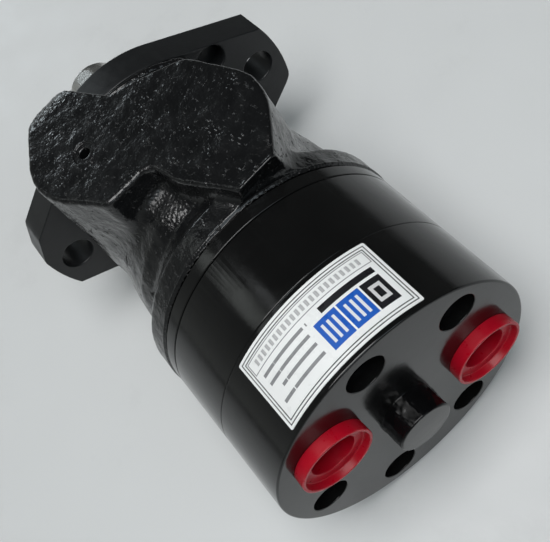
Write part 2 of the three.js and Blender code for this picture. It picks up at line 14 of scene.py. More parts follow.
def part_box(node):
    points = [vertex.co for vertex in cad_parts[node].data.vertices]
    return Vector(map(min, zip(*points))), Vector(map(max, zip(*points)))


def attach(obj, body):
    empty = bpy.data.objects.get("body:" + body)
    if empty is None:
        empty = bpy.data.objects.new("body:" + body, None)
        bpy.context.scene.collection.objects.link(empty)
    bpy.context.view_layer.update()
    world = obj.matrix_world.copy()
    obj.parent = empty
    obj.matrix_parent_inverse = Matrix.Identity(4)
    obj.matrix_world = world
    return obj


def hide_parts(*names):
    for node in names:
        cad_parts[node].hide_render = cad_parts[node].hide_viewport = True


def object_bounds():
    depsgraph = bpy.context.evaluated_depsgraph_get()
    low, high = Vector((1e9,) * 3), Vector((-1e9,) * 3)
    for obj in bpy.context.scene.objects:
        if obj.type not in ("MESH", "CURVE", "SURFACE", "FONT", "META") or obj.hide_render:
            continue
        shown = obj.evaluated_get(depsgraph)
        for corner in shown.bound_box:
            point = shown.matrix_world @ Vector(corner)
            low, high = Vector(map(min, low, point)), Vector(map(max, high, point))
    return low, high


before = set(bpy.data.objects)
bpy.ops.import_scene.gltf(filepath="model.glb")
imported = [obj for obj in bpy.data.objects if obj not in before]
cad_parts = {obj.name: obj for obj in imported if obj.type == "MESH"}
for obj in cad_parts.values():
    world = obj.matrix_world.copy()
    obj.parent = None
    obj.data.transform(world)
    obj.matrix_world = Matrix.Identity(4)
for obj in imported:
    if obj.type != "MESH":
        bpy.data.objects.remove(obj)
cad_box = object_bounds()

MM = 0.001
TURN = 2 * math.pi
FINE = 224  # sides of the large turned surfaces
SMALL = 64  # sides of bores and small turned pieces
HOLE_SIDES = 40  # sides of the hidden bolt holes


def span(node):
    """A CAD node's lowest and highest corner, in millimetres."""
    low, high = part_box(node)
    return np.array(low) / MM, np.array(high) / MM


def centre(node):
    low, high = span(node)
    return (low + high) / 2


def on_circle(radius, angle):
    return radius * math.cos(angle), radius * math.sin(angle)


# ---------- names of repeated CAD nodes ----------
BOLTS = [f"cover_bolt_{i}" for i in range(1, 6)]
BOLT_WASHERS = [f"bolt_washer_{i}" for i in range(1, 6)]
FLANGE_SCREWS = [f"flange_screw_{i}" for i in range(1, 5)]
ROLLERS = [f"roller_{i}" for i in range(1, 8)]
BODY_O_RINGS = [f"body_o_ring_{i}" for i in range(1, 4)]
PLUGS = ["port_plug_a", "port_plug_b"]

# ---------- sizes and places: positions along the shaft ----------
PILOT_HEIGHT = span("mounting_flange")[1][0]
FLANGE_REAR = span("mounting_flange")[0][0]
HOUSING_REAR = span("housing")[0][0]
PLATE_REAR = span("spacer_plate")[0][0]
RING_REAR = span("gear_ring")[0][0]
STUB_END = span("end_cover")[0][0]
STUB_HEIGHT = 9.4
COVER_REAR = STUB_END + STUB_HEIGHT
SHAFT_TIP = span("output_shaft")[1][0]
SHAFT_REAR = span("output_shaft")[0][0]
BEHIND = -120  # well behind the housing, where its long bores start

# ---------- sizes and places: front flange ----------
FLANGE_REACH = span("mounting_flange")[1][1]
# The flange's flanks, as (direction of the normal in degrees from the +Y ear, distance from the shaft axis).
FLANKS = ((60.5, 45.8), (123.5, 46.4))
EAR_FLAT = (30.4, 59.8)  # the flat on the +Y ear, given in the same way
EAR_ROUNDING = 2.5  # how far the -Y ear is blended into its flank
PILOT_RADIUS = 41.25
HOLE_OFFSET = 53.2  # from the shaft axis to each mounting hole
HOLE_RADIUS = 6.75
RELIEF_PLACE, RELIEF_RADIUS, RELIEF_DEPTH = (-40.1, 20.9), 6.2, 6  # the round pocket in the rear face
SEAL_GROOVE, SEAL_GROOVE_DEPTH = (25.2, 28.8), 1.9  # the flange O-ring's groove in the rear face
# The bores round the shaft, as (deep end, mouth, radius): its way through and the seats of its two seals.
FLANGE_BORES = ((-20, PILOT_HEIGHT, 13.5), (1, PILOT_HEIGHT, 17.5), (-1, FLANGE_REAR, 21))

# ---------- sizes and places: screws, as (thread radius, head height, head radius) ----------
SCREW_SIZE = (3.0, 6.0, 5.0)
BOLT_SIZE = (4.0, 8.0, 6.4)

# ---------- sizes and places: housing ----------
PAD_HEIGHT = span("housing")[1][2]
# The port pad's outline seen from above, as (x, y, corner radius): two lobes set across each other.
PAD_OUTLINE = [
    (-27.5, -4.0, 6), (-2.2, 8.9, 9), (-2.2, 22.6, 8), (-34.1, 40.4, 25), (-62.8, 21.5, 4), (-63.6, 2.3, 6),
    (-76, 0.5, 20), (HOUSING_REAR - 3, -13.2, 1.5), (HOUSING_REAR - 3, -24, 1.5), (-72.2, -43.4, 25),
    (-40, -30, 12), (-28.5, -9, 12),
]
PAD_GROW = 0.4  # makes up for what the rounded edge takes off the outline
PAD_EDGE = 1.8  # how far its upper edge is rounded
PAD_LIP = FLANKS[1][1] + 0.7  # underside of the pad where it reaches over the flange
PAD_FLOOR = 4  # height at which the pad ends, inside the neck
PAD_ROLL, ROLL_START, ROLL_LENGTH = 2.8, -11.5, 9  # how far and where the pad's front end falls away
SPREAD = (0.10, -0.05)  # how far the +Y and -Y sides of the pad spread for each mm down
WALL_LEAN = 0.2  # how far the pad's rear wall runs forward for each mm down
PAD_FILLET = 5  # between the pad and the neck
DRAIN = (-37.9, 15.9)  # place of the small hole in the pad
DRAIN_RADIUS, DRAIN_DEPTH = 2.1, 13
DRAIN_SPOT, DRAIN_SPOT_DEPTH = 4.4, 0.5  # the flat turned round its mouth
# The neck's radius along the shaft, as (x, radius): it swells, dips before the rim, then flares up to it.
NECK = [
    (-14, 41), (-50, 41), (-64, 43.5), (-73, 44.4), (-79, 43.4), (-82.5, 44.6), (-87.6, 49.0), (-89.2, 50.0),
]
RIM_RADIUS = 50.0
RIM_CHAMFER = 0.9
BOSS = (-70, 8.5, 30.5)  # a low lump that the casting has on the neck beside the pad
BOSS_RADIUS = 13.8
BOSS_TOP = (-70, 8.5, 43)  # where its surface is coarsest
PEBBLED_SPOT = (-69, 9, 44)  # where the paint on it is pebbled
BEAD_CIRCLE, BEAD_RADIUS, BEAD_LOW = 44.9, 1.9, 22  # a rough bead round the neck behind the flange
BEAD_SETBACK, BEAD_MIDDLE, BEAD_REACH = 1.7, 1, 35  # how far behind the flange, and its extent along Y
SPOOL_BORE = 17.8
BEARING_POCKET, BEARING_POCKET_DEPTH = 21, 22
HOUSING_GROOVES = ((-42, -35), (-71, -64))  # the ring grooves in the bore
HOUSING_GROOVE_RADIUS = 20.5
BOLT_HOLE_END, SCREW_HOLE_END = -78, -28

# ---------- sizes and places: shaft and key ----------
SHAFT_RADIUS = 12.5
PAINT_EDGE = 12.0  # how far from the mounting face the shaft is overpainted
SPOOL_RADIUS = 17.5
SPOOL_FRONT = -14.8
SPOOL_GROOVES = ((-70.5, -64.5), (-41.5, -35.5))
SPOOL_LAND = 15.2  # radius at the bottom of the grooves
CARDAN_BORE = (-46, SHAFT_REAR, 13.2)  # the hollow for the cardan shaft, as (deep end, mouth, radius)
CARDAN_SOCKET = (-50, -30, 0, 10.9)  # the narrower end of it, as (from, to, inner radius, outer radius)
CENTRE_HOLE = (SHAFT_TIP - 14, SHAFT_TIP, 3.3)
KEY_WIDTH = 8.0

# ---------- sizes and places: gear section and end cover ----------
BODY_RADIUS = 49.5
SEAM_EDGE = 0.35  # rounding of the turned pieces where they meet
SEAM_DEPTH = 1.1
O_RING_TRACK, O_RING_DEPTH = (45.1, 47.5), 1.7  # the grooves for the body's O-rings
POSITIONS = 7  # stations round the body, five with bolts and two with ports
BOLT_CIRCLE = 38.75
BOLT_HOLE = 4.3
COUNTERBORE_RADIUS, COUNTERBORE_DEPTH = 6.75, 15
PORT_RADIUS, PORT_DEPTH = 10.2, 16
PLATE_BORE = 14.5
GEAR_BORE = 28.4
POCKET_RADIUS = 5.8  # of the pockets that hold the rollers
STUB_RADIUS = 9.75
FILM_REACH = BODY_RADIUS + 0.32  # outer radius of the CAD's nameplate
station_places = [on_circle(BOLT_CIRCLE, TURN / 4 + k * TURN / POSITIONS) for k in range(POSITIONS)]


# ---------- materials ----------
RANGE_SOCKETS = ("From Min", "From Max", "To Min", "To Max")


class Finish:
    """A Principled material whose colour, roughness and bump come from nodes. Sizes are in millimetres."""

    def __init__(self, name, roughness=0.5, **sockets):
        self.material = bpy.data.materials.new(name)
        self.material.use_nodes = True
        self.nodes = self.material.node_tree.nodes
        self.links = self.material.node_tree.links
        self.shader = self.nodes["Principled BSDF"]
        self.place = self.nodes.new("ShaderNodeTexCoord").outputs["Object"]
        self.shader.inputs["Roughness"].default_value = roughness
        for socket, value in sockets.items():
            self.shader.inputs[socket.replace("_", " ")].default_value = value

    def put(self, socket, value):
        """Links a node's output to a socket, or sets the socket to a plain value."""
        if isinstance(value, bpy.types.NodeSocket):
            self.links.new(value, socket)
        else:
            socket.default_value = value

    def scaled(self, stretch):
        """The place on the piece, with each axis scaled by a factor."""
        node = self.nodes.new("ShaderNodeMapping")
        self.put(node.inputs["Vector"], self.place)
        node.inputs["Scale"].default_value = stretch
        return node.outputs["Vector"]

    def noise(self, size, detail=3.0, rough=0.5, stretch=None):
        """Noise from 0 to 1 whose largest features are about that size."""
        node = self.nodes.new("ShaderNodeTexNoise")
        self.put(node.inputs["Vector"], self.scaled(stretch) if stretch else self.place)
        node.inputs["Scale"].default_value = 1 / (size * MM)
        node.inputs["Detail"].default_value = detail
        node.inputs["Roughness"].default_value = rough
        return node.outputs["Fac"]

    def cells(self, size):
        """Distance from the middle of the nearest cell, for cells about that size."""
        node = self.nodes.new("ShaderNodeTexVoronoi")
        self.put(node.inputs["Vector"], self.place)
        node.inputs["Scale"].default_value = 1 / (size * MM)
        return node.outputs["Distance"]

    def calc(self, operation, a, b=0.0, c=0.0):
        node = self.nodes.new("ShaderNodeMath")
        node.operation = operation
        for socket, value in zip(node.inputs, (a, b, c)):
            self.put(socket, value)
        return node.outputs[0]

    def levels(self, value, low, high, to_low=0.0, to_high=1.0):
        """A value's range from low to high stretched to another range, and held to it beyond the ends."""
        node = self.nodes.new("ShaderNodeMapRange")
        for name, v in zip(("Value", *RANGE_SOCKETS), (value, low, high, to_low, to_high)):
            self.put(node.inputs[name], v)
        return node.outputs[0]

    def mixed(self, factor, a, b):
        """Colour a where factor is 0 and colour b where it is 1."""
        node = self.nodes.new("ShaderNodeMix")
        node.data_type = "RGBA"
        self.put(node.inputs[0], factor)
        for socket, value in ((node.inputs[6], a), (node.inputs[7], b)):
            self.put(socket, (*value, 1) if isinstance(value, tuple) else value)
        return node.outputs[2]

    def bump(self, height, distance):
        """Adds a bump of that height in millimetres to the surface, on top of those added before."""
        node = self.nodes.new("ShaderNodeBump")
        node.inputs["Distance"].default_value = distance * MM
        node.inputs["Strength"].default_value = 1.0
        self.put(node.inputs["Height"], height)
        normal = self.shader.inputs["Normal"]
        if normal.links:
            self.put(node.inputs["Normal"], normal.links[0].from_socket)
        self.links.new(node.outputs["Normal"], normal)

    def coordinates(self):
        """The place on the piece as x, y and z in millimetres."""
        node = self.nodes.new("ShaderNodeSeparateXYZ")
        self.put(node.inputs[0], self.place)
        return [self.calc("MULTIPLY", s, 1 / MM) for s in node.outputs]

    def near(self, point, inner, outer):
        """1 within the inner distance of a point, falling to 0 at the outer one."""
        gap = self.nodes.new("ShaderNodeVectorMath")
        gap.operation = "DISTANCE"
        self.put(gap.inputs[0], self.place)
        gap.inputs[1].default_value = tuple(c * MM for c in point)
        return self.levels(gap.outputs["Value"], outer * MM, inner * MM)

    def color(self, value):
        self.put(self.shader.inputs["Base Color"], value)

    def roughness(self, value):
        self.put(self.shader.inputs["Roughness"], value)


def cast_paint():
    """Gloss black paint thick over a sand casting."""
    f = Finish("cast_paint", roughness=0.3)
    patch = f.noise(14, 2)
    # Pits in the cast skin: sunk by a bump and dulled, and also painted near black, a painted shade in them
    pits_and_painted_shade = f.levels(f.noise(1.8, 3, 0.55), 0.37, 0.31)
    skin = f.mixed(patch, (0.0035, 0.0037, 0.004), (0.007, 0.0074, 0.008))
    # painted shade: the colour goes near black inside the pits
    f.color(f.mixed(pits_and_painted_shade, skin, (0.001, 0.001, 0.001)))
    grain = f.noise(1.0, 1.5, 0.5)
    x, _, z = f.coordinates()
    front_end = f.calc("MULTIPLY", f.levels(x, -13.5, -9), f.levels(z, PAD_HEIGHT - 5, PAD_HEIGHT - 3))
    by_boss = f.near(PEBBLED_SPOT, 4, 11)
    rough = f.calc("MAXIMUM", front_end, by_boss)
    dull = f.calc("MAXIMUM", f.calc("MULTIPLY", pits_and_painted_shade, 0.6), f.calc("MULTIPLY", by_boss, 0.36))
    f.roughness(f.calc("MAXIMUM", f.levels(f.noise(6, 4), 0.3, 0.7, 0.15, 0.27), dull))
    f.bump(f.noise(3.0, 2, 0.5), 0.16)
    f.bump(grain, 0.13)
    f.bump(pits_and_painted_shade, -0.2)
    pimples = f.levels(f.cells(1.5), 0.34, 0.06)
    f.bump(f.calc("MULTIPLY", pimples, f.levels(f.noise(8, 2), 0.5, 0.64)), 0.16)
    f.bump(f.calc("MULTIPLY", f.levels(f.cells(1.25), 0.6, 0.05), rough), 0.22)
    return f.material


def satin_paint():
    """Thinner satin black paint over a machined flange."""
    f = Finish("satin_paint", roughness=0.4)
    f.shader.inputs["IOR"].default_value = 1.44
    f.color(f.mixed(f.noise(18, 4), (0.006, 0.0066, 0.0072), (0.010, 0.0108, 0.0116)))
    f.roughness(f.levels(f.noise(5, 4), 0.3, 0.7, 0.30, 0.44))
    f.bump(f.noise(0.8, 2), 0.02)
    f.bump(f.noise(4, 2), 0.05)
    return f.material


def gloss_paint():
    """Mirror gloss black paint on turned steel, with a faint orange peel and turning lines under it."""
    f = Finish("gloss_paint", roughness=0.1)
    f.shader.inputs["IOR"].default_value = 1.46
    f.color(f.mixed(f.noise(22, 3), (0.0035, 0.0036, 0.0036), (0.0065, 0.0066, 0.0066)))
    f.roughness(f.levels(f.noise(9, 5, 0.65), 0.35, 0.7, 0.09, 0.2))
    f.bump(f.noise(3.5, 2), 0.02)
    f.bump(f.noise(2.2, 2, stretch=(12, 0.6, 0.6)), 0.012)
    return f.material


def drip_paint():
    """The same paint where it ran in thick uneven coats."""
    f = Finish("drip_paint", roughness=0.16, Specular_IOR_Level=0.2)
    f.color(f.mixed(f.noise(4, 3), (0.002, 0.002, 0.0022), (0.004, 0.004, 0.0044)))
    f.roughness(f.levels(f.noise(2.5, 4), 0.3, 0.7, 0.1, 0.2))
    f.bump(f.noise(2.4, 2, 0.5, stretch=(0.5, 1, 1)), 0.06)
    return f.material


def rubber():
    f = Finish("seal_rubber", roughness=0.7)
    f.color(f.mixed(f.noise(4, 4), (0.012, 0.012, 0.012), (0.026, 0.026, 0.027)))
    f.roughness(f.levels(f.noise(1.2, 3), 0.3, 0.7, 0.6, 0.8))
    f.bump(f.noise(0.5, 3), 0.03)
    return f.material


def ground_steel(name, color, low, high):
    """Steel with grinding lines round the shaft axis and faint stains, and a roughness from low to high."""
    f = Finish(name, Metallic=1.0)
    dark = tuple(c * 0.62 for c in color)
    lines = f.noise(0.5, 2, stretch=(4, 0.4, 0.4))
    f.color(f.mixed(f.levels(f.noise(6, 4), 0.42, 0.72), color, dark))
    f.roughness(f.levels(lines, 0.3, 0.7, low, high))
    f.bump(lines, 0.012)
    return f


def shaft_steel():
    """Bare ground steel whose root is overpainted black, with a ragged edge and a few spots beyond it."""
    f = ground_steel("bare_steel", (0.82, 0.81, 0.79), 0.24, 0.4)
    x = f.coordinates()[0]
    edge = f.calc("ADD", x, f.calc("MULTIPLY", f.noise(3.2, 4, 0.6), 16))
    painted = f.levels(edge, PAINT_EDGE + 8.6, PAINT_EDGE + 8.2)
    steel = f.shader.inputs["Base Color"].links[0].from_socket
    f.color(f.mixed(painted, steel, (0.012, 0.012, 0.013)))
    f.put(f.shader.inputs["Metallic"], f.calc("SUBTRACT", 1.0, painted))
    f.bump(painted, 0.12)
    return f.material


def black_oxide():
    f = Finish("bolt_steel", Metallic=0.85)
    f.color(f.mixed(f.noise(3, 4), (0.02, 0.02, 0.021), (0.05, 0.049, 0.048)))
    f.roughness(f.levels(f.noise(1.5, 4), 0.3, 0.7, 0.35, 0.6))
    f.bump(f.noise(0.7, 3), 0.03)
    return f.material


def red_plastic():
    """Moulded red polyethylene, a little see-through at its thin edges."""
    f = Finish("red_plastic", roughness=0.32)
    s = f.shader.inputs
    s["Subsurface Weight"].default_value = 0.12
    s["Subsurface Radius"].default_value = (1.0, 0.08, 0.1)
    s["Subsurface Scale"].default_value = 1.8 * MM
    s["Specular IOR Level"].default_value = 0.35
    f.color(f.mixed(f.noise(6, 3), (0.33, 0.0022, 0.011), (0.40, 0.0032, 0.016)))
    f.roughness(f.levels(f.noise(2, 3), 0.3, 0.7, 0.26, 0.42))
    f.bump(f.noise(2.5, 3), 0.05)
    return f.material


# ---------- solids as (points, faces), in millimetres ----------
def unit(v):
    return v / np.linalg.norm(v)


def rounded(corners, steps=4):
    """A closed outline of (a, b, corner radius) points with its corners turned into arcs."""
    outline = []
    for i, (a, b, radius) in enumerate(corners):
        here = np.array((a, b), float)
        back = unit(np.array(corners[i - 1][:2]) - here)
        on = unit(np.array(corners[(i + 1) % len(corners)][:2]) - here)
        if radius == 0:
            outline.append(tuple(here))
            continue
        half = math.acos(np.clip(back @ on, -1, 1)) / 2
        middle = here + unit(back + on) * radius / math.sin(half)
        first = here + back * radius / math.tan(half) - middle
        last = here + on * radius / math.tan(half) - middle
        sweep = math.atan2(first[0] * last[1] - first[1] * last[0], first @ last)
        for k in range(steps + 1):
            c, s = on_circle(1, sweep * k / steps)
            outline.append((middle[0] + c * first[0] - s * first[1], middle[1] + s * first[0] + c * first[1]))
    return outline


def lathe(outline, sides=FINE, y=0.0, z=0.0):
    """A solid turned about a line along X through (y, z), from an outline of (x, radius) points that starts
    and ends on the line, or else closes on itself."""
    points, faces, rings = [], [], []
    for x, r in outline:
        start = len(points)
        if r < 1e-9:
            points.append((x, y, z))
            rings.append([start] * sides)
        else:
            points += [(x, y + r * math.cos(a), z + r * math.sin(a)) for a in np.arange(sides) * TURN / sides]
            rings.append(list(range(start, start + sides)))
    closed = outline[0][1] > 0
    for a, b in zip(rings, rings[1:] + rings[:1] if closed else rings[1:]):
        for i in range(sides):
            j = (i + 1) % sides
            face = tuple(dict.fromkeys((a[i], a[j], b[j], b[i])))
            if len(face) > 2:
                faces.append(face)
    return points, faces


def tube(x0, x1, inner, outer, sides=FINE, y=0.0, z=0.0):
    """A plain sharp-edged tube, or a rod where the inner radius is 0."""
    return lathe([(x0, inner), (x0, outer), (x1, outer), (x1, inner)], sides, y, z)


def prism(outline, x0, x1):
    """An outline of (y, z) points made solid from x0 up to x1."""
    n = len(outline)
    points = [(x, y, z) for x in (x0, x1) for y, z in outline]
    faces = [tuple(range(n)), tuple(range(2 * n - 1, n - 1, -1))]
    faces += [(i, (i + 1) % n, n + (i + 1) % n, n + i) for i in range(n)]
    return points, faces


def joined(solids):
    """Several solids that don't touch, as one."""
    points, faces = [], []
    for p, f in solids:
        faces += [tuple(i + len(points) for i in face) for face in f]
        points += p
    return points, faces


def ring(x0, x1, inner, outer, edge=0.3, sides=FINE):
    """A flat ring with small rounded edges."""
    corners = [(x0, inner, edge), (x0, outer, edge), (x1, outer, edge), (x1, inner, edge)]
    return lathe(rounded(corners), sides)


def bore(x_deep, x_mouth, radius, y=0.0, z=0.0, edge=0.5, sides=SMALL):
    """What a drill takes away from x_deep to the face at x_mouth, with the mouth's edge broken."""
    out = math.copysign(1.0, x_mouth - x_deep)
    outline = [(x_deep, 0), (x_deep, radius)]
    for k in range(4):
        a = k * TURN / 12
        outline.append((x_mouth - out * edge * (1 - math.sin(a)), radius + edge * (1 - math.cos(a))))
    outline += [(x_mouth + out, radius + edge), (x_mouth + out, 0)]
    return lathe(outline, sides, y, z)


# ---------- pieces ----------
def mesh_of(name, solid):
    """A Blender mesh of a solid, with its faces turned outwards."""
    points, faces = solid
    mesh = bpy.data.meshes.new(name)
    mesh.from_pydata([tuple(c * MM for c in p) for p in points], [], faces)
    work = bmesh.new()
    work.from_mesh(mesh)
    bmesh.ops.recalc_face_normals(work, faces=work.faces)
    work.to_mesh(mesh)
    work.free()
    return mesh


def new_object(name, mesh):
    made = bpy.data.objects.new(name, mesh)
    bpy.context.scene.collection.objects.link(made)
    return made


def apply_modifiers(made):
    graph = bpy.context.evaluated_depsgraph_get()
    done = bpy.data.meshes.new_from_object(made.evaluated_get(graph))
    made.modifiers.clear()
    made.data = done


def cut(made, cutter_solid, operation="DIFFERENCE"):
    """Cuts a solid out of a piece, or joins it on."""
    cutter = new_object("cutter", mesh_of("cutter", cutter_solid))
    modifier = made.modifiers.new("cut", "BOOLEAN")
    modifier.operation = operation
    modifier.solver = "MANIFOLD"
    modifier.object = cutter
    apply_modifiers(made)
    bpy.data.objects.remove(cutter)


def round_edges(made, width, segments):
    """Rounds a piece's sharp edges over that width in millimetres."""
    bevel = made.modifiers.new("edges", "BEVEL")
    bevel.width = width * MM
    bevel.segments = segments
    bevel.limit_method = "ANGLE"
    bevel.angle_limit = math.radians(50)


def smooth(made, angle=38, weighted=True):
    """Shades a piece smooth, with its edges sharper than the angle left as edges."""
    mesh = made.data
    mesh.shade_smooth()
    mesh.set_sharp_from_angle(angle=math.radians(angle))
    if weighted:
        modifier = made.modifiers.new("even_normals", "WEIGHTED_NORMAL")
        modifier.keep_sharp = True


def paint(made, *materials):
    made.data.materials.clear()
    for material in materials:
        made.data.materials.append(material)


def piece(name, solid, material, body, stands_for=(), cuts=None):
    """A finished piece of the motor that rides on a body and stands for CAD nodes."""
    made = new_object(name, mesh_of(name, solid))
    if cuts:
        cut(made, joined(cuts))
    paint(made, material)
    smooth(made)
    settle(made, body, stands_for)
    return made


def settle(made, body, stands_for):
    """Says which body a piece rides on and the CAD nodes it stands for."""
    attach(made, body)
    if stands_for:
        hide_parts(*stands_for)


# ---------- a surface from a distance function ----------
def surface(distance, planes):
    """Points and quads of the closed surface where distance(x, y, z) is 0 and negative inside, on a grid of
    planes: each grid cell that the surface crosses has one point, in the middle of its crossings."""
    grid = np.ix_(*planes)
    d = np.broadcast_to(distance(*grid), [len(p) for p in planes])
    inside = d < 0
    cells = [n - 1 for n in d.shape]
    count = np.zeros(cells, np.int8)
    for i in (0, 1):
        for j in (0, 1):
            for k in (0, 1):
                count += inside[i:i + cells[0], j:j + cells[1], k:k + cells[2]]
    mixed = (count > 0) & (count < 8)
    index = np.full(cells, -1)
    index[mixed] = np.arange(mixed.sum())
    total = np.zeros((mixed.sum(), 3))
    hits = np.zeros(mixed.sum())
    quads = []
    for a in range(3):
        b, c = (a + 1) % 3, (a + 2) % 3
        crossing = np.argwhere(np.diff(inside, axis=a))
        beyond = crossing + np.eye(3, dtype=int)[a]
        d0, d1 = d[tuple(crossing.T)], d[tuple(beyond.T)]
        points = np.stack([planes[k][crossing[:, k]] for k in range(3)], 1).astype(float)
        points[:, a] += d0 / (d0 - d1) * (planes[a][beyond[:, a]] - planes[a][crossing[:, a]])
        corners = []
        for step_b, step_c in ((0, 0), (-1, 0), (-1, -1), (0, -1)):
            cell = crossing.copy()
            cell[:, b] += step_b
            cell[:, c] += step_c
            corner = index[tuple(cell.T)]
            np.add.at(total, corner, points)
            np.add.at(hits, corner, 1)
            corners.append(corner)
        quad = np.stack(corners, 1)
        turned = d0 > 0
        quad[turned] = quad[turned][:, ::-1]
        quads.append(quad)
    return total / hits[:, None], np.concatenate(quads)


def gradient(distance, p, step=0.06):
    """The distance at each point, and its slope."""
    at = distance(*p.T)
    ahead = [distance(*(p + step * axis).T) for axis in np.eye(3)]
    return at, (np.stack(ahead, 1) - at[:, None]) / step


def settled(distance, p, most=0.5):
    """Moves points onto the surface, and gives them with the surface's outward directions."""
    for _ in range(3):
        at, slope = gradient(distance, p)
        move = at[:, None] * slope / np.maximum((slope ** 2).sum(1), 0.2)[:, None]
        p = p - np.clip(move, -most, most)
    slope = gradient(distance, p)[1]
    return p, slope / np.maximum(np.linalg.norm(slope, axis=1), 1e-6)[:, None]


def smooth_min(a, b, reach):
    """The union of two distances, with a fillet where they are within reach of each other."""
    h = np.clip(0.5 + 0.5 * (b - a) / reach, 0, 1)
    return b + (a - b) * h - reach * h * (1 - h)


def smooth_max(a, b, reach):
    """What two distances have in common, with its edge rounded within reach."""
    return -smooth_min(-a, -b, reach)


def outline_distance(outline, x, y):
    """Signed distance in the plane to a closed outline, negative inside."""
    shape = np.broadcast(x, y).shape
    best = np.full(shape, 1e9)
    inside = np.zeros(shape, bool)
    for (ax, ay), (bx, by) in zip(outline, outline[1:] + outline[:1]):
        dx, dy = bx - ax, by - ay
        t = np.clip(((x - ax) * dx + (y - ay) * dy) / (dx * dx + dy * dy), 0, 1)
        best = np.minimum(best, (x - ax - t * dx) ** 2 + (y - ay - t * dy) ** 2)
        if dy:
            inside ^= ((ay > y) != (by > y)) & (x < ax + (y - ay) * dx / dy)
    return np.where(inside, -1, 1) * np.sqrt(best)


def rod_distance(x, r, x0, x1, radius):
    """Distance to a rod from x0 to x1, where r is the distance from its axis."""
    return np.maximum(np.maximum(x0 - x, x - x1), r - radius)


def ring_distance(x, r, x0, x1, inner, outer):
    """The same for a ring."""
    return np.maximum(np.maximum(x0 - x, x - x1), np.maximum(inner - r, r - outer))


# ---------- housing ----------
pad_edge = rounded(PAD_OUTLINE, 6)


def neck_distance(x, y, z, r, chamfer):
    """The turned neck and rim, with the boss and the bead cast on them."""
    neck_x, neck_r = zip(*NECK[::-1])
    neck = r - np.interp(x, neck_x, neck_r)
    lump = np.sqrt((x - BOSS[0]) ** 2 + (y - BOSS[1]) ** 2 + (z - BOSS[2]) ** 2) - BOSS_RADIUS
    neck = smooth_min(neck, lump, 3)
    neck = np.maximum(neck, chamfer)
    bead = np.hypot(r - BEAD_CIRCLE, x - FLANGE_REAR + BEAD_SETBACK) - BEAD_RADIUS
    bead = np.maximum(bead, np.maximum(BEAD_LOW - z, np.abs(y - BEAD_MIDDLE) - BEAD_REACH))
    return smooth_min(neck, bead, 2)


def pad_distance(x, y, z):
    """The port pad: its sides slope, its front end falls away over the flange and its rear wall leans."""
    down = PAD_HEIGHT - z
    side = np.clip(y / 12, -1, 1)
    spread = np.where(side > 0, *SPREAD) * np.abs(side)
    wall = outline_distance(pad_edge, x, y) - down * spread - PAD_GROW
    roll = PAD_ROLL * np.clip((x - ROLL_START) / ROLL_LENGTH, 0, 1.15) ** 2
    pad = smooth_max(wall, z - PAD_HEIGHT + roll, PAD_EDGE)
    pad = np.maximum(pad, np.maximum(PAD_FLOOR - z, HOUSING_REAR + WALL_LEAN * down - x))
    over_flange = np.maximum(FLANGE_REAR - x, z - PAD_LIP)
    return np.maximum(pad, -over_flange)


def housing_holes(x, y, z, r):
    """The distance to each thing that is turned or drilled out of the casting."""
    yield rod_distance(x, r, BEHIND, 0, SPOOL_BORE)
    yield rod_distance(x, r, -BEARING_POCKET_DEPTH, 0, BEARING_POCKET)
    for x0, x1 in HOUSING_GROOVES:
        yield rod_distance(x, r, x0, x1, HOUSING_GROOVE_RADIUS)
    yield ring_distance(x, r, BEHIND, HOUSING_REAR + O_RING_DEPTH, *O_RING_TRACK)
    for cy, cz in station_places:
        yield rod_distance(x, np.hypot(y - cy, z - cz), BEHIND, BOLT_HOLE_END, BOLT_SIZE[0] + 0.2)
    for node in FLANGE_SCREWS:
        _, cy, cz = centre(node)
        yield rod_distance(x, np.hypot(y - cy, z - cz), SCREW_HOLE_END, 0, SCREW_SIZE[0] + 0.2)
    drain = np.hypot(x - DRAIN[0], y - DRAIN[1])
    spot = np.maximum(drain - DRAIN_SPOT, PAD_HEIGHT - DRAIN_SPOT_DEPTH - z)
    yield np.minimum(spot, np.maximum(drain - DRAIN_RADIUS, PAD_HEIGHT - DRAIN_DEPTH - z))


def housing_distance(x, y, z):
    """The whole casting, before its rough skin."""
    r = np.sqrt(y * y + z * z)
    chamfer = (r - RIM_RADIUS + RIM_CHAMFER - (x - HOUSING_REAR)) / math.sqrt(2)
    body = smooth_min(neck_distance(x, y, z, r, chamfer), pad_distance(x, y, z), PAD_FILLET)
    body = np.maximum(body, np.where(z > PAD_LIP, -1e3, x - FLANGE_REAR))
    below_wall = np.minimum(HOUSING_REAR + RIM_CHAMFER - x, PAD_HEIGHT - RIM_CHAMFER / WALL_LEAN - z)
    body = np.maximum(body, np.minimum(chamfer, below_wall))
    body = np.maximum(body, HOUSING_REAR - x)
    for hole in housing_holes(x, y, z, r):
        body = np.maximum(body, -hole)
    return body


def spaced(stops):
    """Plane positions from (from, to, spacing) stretches."""
    runs = [np.arange(a, b - s / 4, s) for a, b, s in stops]
    return np.concatenate([*runs, [stops[-1][1]]])


def cast_noise(p, size):
    return noise.noise(Vector(p) / size)


